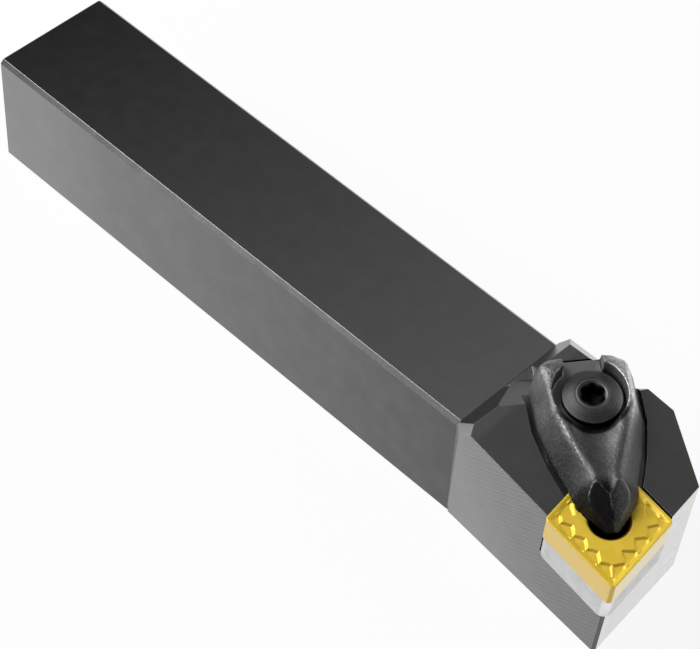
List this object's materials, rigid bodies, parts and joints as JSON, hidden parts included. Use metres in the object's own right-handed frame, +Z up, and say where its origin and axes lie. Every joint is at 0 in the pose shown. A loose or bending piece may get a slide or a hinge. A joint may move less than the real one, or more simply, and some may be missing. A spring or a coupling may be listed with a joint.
{
  "type": "indexable turning tool holder",
  "caption": "Square-shank lathe tool holder whose angled head clamps a rhombic carbide insert on a shim, with a beaked top clamp and a flanged screw.",
  "frame": {"origin": "middle of the shank's rear bottom edge", "axes": "+X along the shank towards the cutting end, +Z up from the shank's bottom face, -Y towards the cutting nose"},
  "size_m": [0.125, 0.025, 0.0292],
  "materials": {
    "holder_steel": "dark, milled, satin",
    "shim_carbide": "pale ground hard metal",
    "pin_steel": "black oxide",
    "insert_coating": "gold coated hard metal",
    "clamp_steel": "dark forged, grainy",
    "screw_steel": "dark turned satin",
    "spring_steel": "drawn wire"
  },
  "bodies": {
    "holder": {"holder_body": "holder_steel", "shim": "shim_carbide", "shim_screw": "pin_steel", "insert": "insert_coating", "clamp_spring": "spring_steel"},
    "clamp": {"clamp": "clamp_steel"},
    "clamp_screw": {"clamp_screw": "screw_steel"}
  },
  "joints": [
    {"name": "clamp_lift", "type": "slide", "parent": "holder", "child": "clamp", "axis": [0.096, -0.096, 0.9907], "range_m": [0, 0.003], "deforming": ["clamp_spring"]},
    {"name": "screw_turn", "type": "hinge", "parent": "clamp", "child": "clamp_screw", "pos_m": [0.10555, 0.00197, 0.02576], "axis": [0.096, -0.096, 0.9907], "range_deg": [0, 1350]}
  ],
  "couplings": [
    {"joint": "screw_turn", "follows": "clamp_lift", "rad_per_m": 7854}
  ]
}
